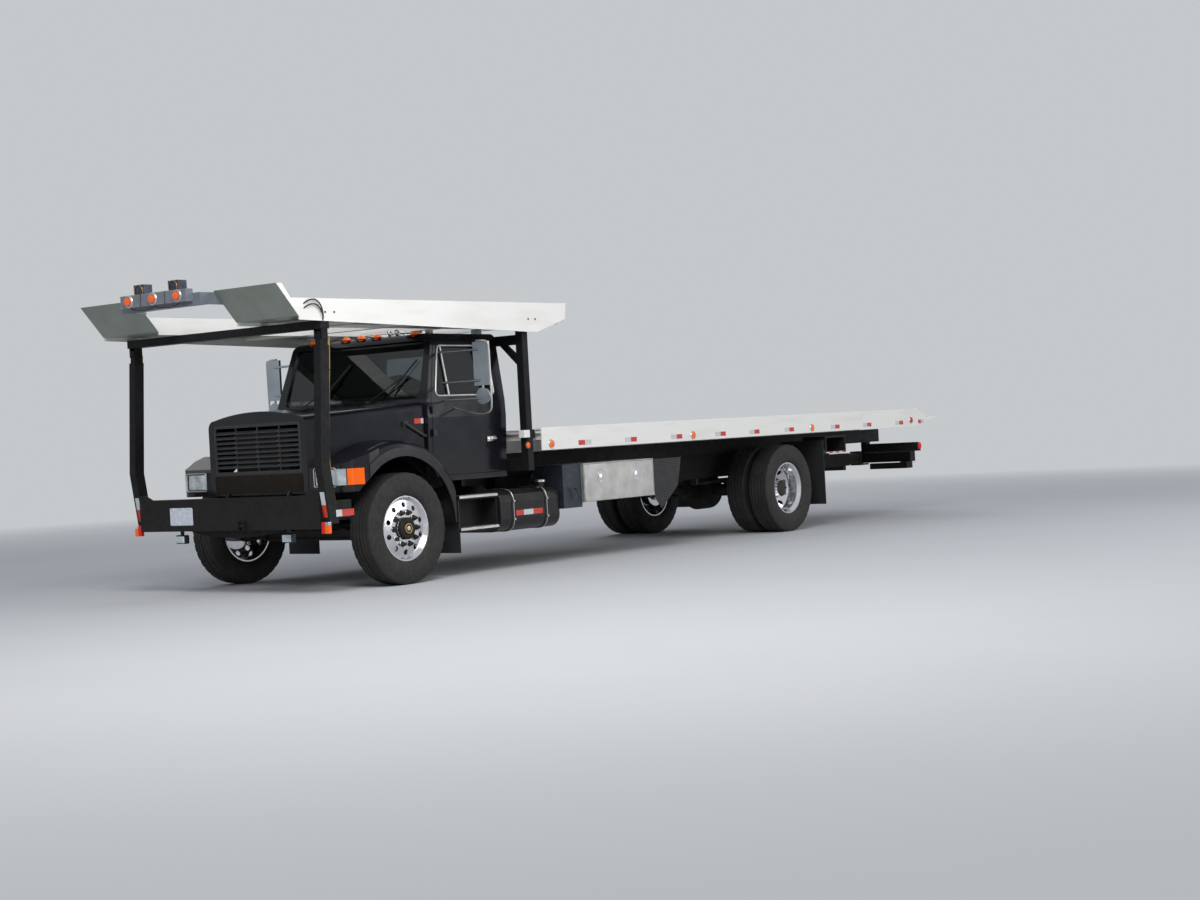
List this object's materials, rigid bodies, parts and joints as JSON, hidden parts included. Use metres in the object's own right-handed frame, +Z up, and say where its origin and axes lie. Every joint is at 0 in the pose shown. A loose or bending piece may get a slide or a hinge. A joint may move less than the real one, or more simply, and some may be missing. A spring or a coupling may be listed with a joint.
{
  "type": "tow truck",
  "caption": "Rollback tow truck with a hooded cab, a tilting and sliding deck, a wheel lift at the tail and a second car rack over the cab.",
  "frame": {"origin": "on the ground, under the middle of the truck's outer box", "axes": "+X to the front, +Y to the truck's left, +Z up"},
  "size_m": [11.766, 2.88, 2.69],
  "materials": {
    "black_paint": "gloss",
    "chassis_black": "satin",
    "white_paint": "gloss",
    "grey_paint": "satin",
    "cast_metal": "rough",
    "bright_aluminium": "polished",
    "satin_aluminium": "satin",
    "chrome_rod": "polished",
    "tyre": "matt",
    "flap_rubber": "matt",
    "black_plastic": "matt",
    "trim_fabric": "matt",
    "window_glass": "clear",
    "lamp_lens": "clear",
    "amber_lens": "clear",
    "exhaust_steel": "satin"
  },
  "bodies": {
    "chassis": {"frame_rails": "chassis_black", "frame_members": "chassis_black", "bumper": "black_paint", "front_posts": "black_paint", "rear_posts": "chassis_black", "axles": "cast_metal", "leaf_springs": "cast_metal", "engine_block": "cast_metal", "drive_shaft": "cast_metal", "exhaust": "exhaust_steel", "cab_shell": "black_paint", "cab_glass": "window_glass", "cab_interior": "black_plastic", "seats": "trim_fabric", "fuel_tanks": "bright_aluminium", "cab_steps": "chassis_black", "tool_boxes": "satin_aluminium", "mud_flaps": "flap_rubber", "light_boxes": "white_paint"},
    "hood": {"hood_shell": "black_paint", "fenders": "black_paint", "grille": "black_plastic", "headlamps": "lamp_lens", "turn_signals": "amber_lens"},
    "door_left": {"door_left": "black_paint", "door_glass_left": "window_glass", "mirror_left": "black_plastic"},
    "door_right": {"door_right": "black_paint", "door_glass_right": "window_glass", "mirror_right": "black_plastic"},
    "knuckle_left": {"knuckle_left": "cast_metal"},
    "knuckle_right": {"knuckle_right": "cast_metal"},
    "wheel_front_left": {"front_tyre_left": "tyre", "front_wheel_left": "bright_aluminium"},
    "wheel_front_right": {"front_tyre_right": "tyre", "front_wheel_right": "bright_aluminium"},
    "wheel_rear_left": {"rear_tyres_left": "tyre", "rear_wheels_left": "bright_aluminium"},
    "wheel_rear_right": {"rear_tyres_right": "tyre", "rear_wheels_right": "bright_aluminium"},
    "rack": {"rack_tracks": "white_paint", "rack_beam": "chassis_black", "rack_lamps": "grey_paint"},
    "rack_rams": {"rack_rams": "chassis_black"},
    "subframe": {"subframe": "chassis_black", "subframe_members": "chassis_black", "slide_barrel": "chassis_black", "tail_lights": "chassis_black"},
    "deck": {"deck": "white_paint", "slide_rod": "chrome_rod"},
    "tilt_barrels": {"tilt_barrels": "chassis_black"},
    "tilt_rods": {"tilt_rods": "chrome_rod"},
    "lift_boom": {"lift_boom": "chassis_black"},
    "lift_stinger": {"lift_stinger": "chassis_black"},
    "lift_crossbar": {"lift_crossbar": "chassis_black"},
    "tool_door_left": {"tool_door_left": "satin_aluminium"},
    "tool_door_right": {"tool_door_right": "satin_aluminium"}
  },
  "joints": [
    {"name": "steer_left", "type": "hinge", "parent": "chassis", "child": "knuckle_left", "pos_m": [4.122, 0.88, 0.49], "axis": [0, 0, 1], "range_deg": [-35, 35]},
    {"name": "steer_right", "type": "hinge", "parent": "chassis", "child": "knuckle_right", "pos_m": [4.122, -0.88, 0.49], "axis": [0, 0, 1], "range_deg": [-35, 35]},
    {"name": "spin_front_left", "type": "hinge", "parent": "knuckle_left", "child": "wheel_front_left", "pos_m": [4.122, 1.015, 0.49], "axis": [0, 1, 0], "continuous": true},
    {"name": "spin_front_right", "type": "hinge", "parent": "knuckle_right", "child": "wheel_front_right", "pos_m": [4.122, -1.015, 0.49], "axis": [0, 1, 0], "continuous": true},
    {"name": "spin_rear_left", "type": "hinge", "parent": "chassis", "child": "wheel_rear_left", "pos_m": [-2.078, 0.93, 0.49], "axis": [0, 1, 0], "continuous": true},
    {"name": "spin_rear_right", "type": "hinge", "parent": "chassis", "child": "wheel_rear_right", "pos_m": [-2.078, -0.93, 0.49], "axis": [0, 1, 0], "continuous": true},
    {"name": "hood_tilt", "type": "hinge", "parent": "chassis", "child": "hood", "pos_m": [4.942, 0, 0.62], "axis": [0, 1, 0], "range_deg": [0, 45]},
    {"name": "door_left_hinge", "type": "hinge", "parent": "chassis", "child": "door_left", "pos_m": [3.567, 0.991, 1.5], "axis": [0, 0, -1], "range_deg": [0, 65]},
    {"name": "door_right_hinge", "type": "hinge", "parent": "chassis", "child": "door_right", "pos_m": [3.567, -0.991, 1.5], "axis": [0, 0, 1], "range_deg": [0, 65]},
    {"name": "rack_tilt", "type": "hinge", "parent": "chassis", "child": "rack", "pos_m": [2.472, 0, 2.25], "axis": [0, -1, 0], "range_deg": [0, 8]},
    {"name": "rack_ram_slide", "type": "slide", "parent": "chassis", "child": "rack_rams", "axis": [-0.0672, 0, 0.9977], "range_m": [0, 0.37]},
    {"name": "bed_tilt", "type": "hinge", "parent": "chassis", "child": "subframe", "pos_m": [-3.758, 0, 0.865], "axis": [0, -1, 0], "range_deg": [0, 11]},
    {"name": "bed_slide", "type": "slide", "parent": "subframe", "child": "deck", "axis": [-1, 0, 0], "range_m": [0, 3.9]},
    {"name": "tilt_barrel_swing", "type": "hinge", "parent": "chassis", "child": "tilt_barrels", "pos_m": [-1.328, 0, 0.7], "axis": [0, -1, 0], "range_deg": [0, 27.2]},
    {"name": "tilt_rod_slide", "type": "slide", "parent": "tilt_barrels", "child": "tilt_rods", "axis": [0.9768, 0, 0.2142], "range_m": [0, 0.24]},
    {"name": "lift_raise", "type": "hinge", "parent": "subframe", "child": "lift_boom", "pos_m": [-4.678, 0, 0.7], "axis": [0, 1, 0], "range_deg": [-20, 8]},
    {"name": "lift_extend", "type": "slide", "parent": "lift_boom", "child": "lift_stinger", "axis": [-1, 0, 0], "range_m": [0, 0.45]},
    {"name": "crossbar_swivel", "type": "hinge", "parent": "lift_stinger", "child": "lift_crossbar", "pos_m": [-5.818, 0, 0.7], "axis": [0, 0, 1], "range_deg": [-15, 15]},
    {"name": "tool_door_left_hinge", "type": "hinge", "parent": "chassis", "child": "tool_door_left", "pos_m": [1.102, 1.2075, 0.572], "axis": [-1, 0, 0], "range_deg": [0, 90]},
    {"name": "tool_door_right_hinge", "type": "hinge", "parent": "chassis", "child": "tool_door_right", "pos_m": [1.102, -1.2075, 0.572], "axis": [1, 0, 0], "range_deg": [0, 90]}
  ],
  "couplings": [
    {"joint": "steer_right", "follows": "steer_left", "ratio": 1},
    {"joint": "rack_ram_slide", "follows": "rack_tilt", "m_per_rad": 2.6315},
    {"joint": "bed_slide", "follows": "bed_tilt", "m_per_rad": 20.314},
    {"joint": "tilt_barrel_swing", "follows": "bed_tilt", "ratio": 2.4623},
    {"joint": "tilt_rod_slide", "follows": "bed_tilt", "m_per_rad": 1.2203}
  ]
}
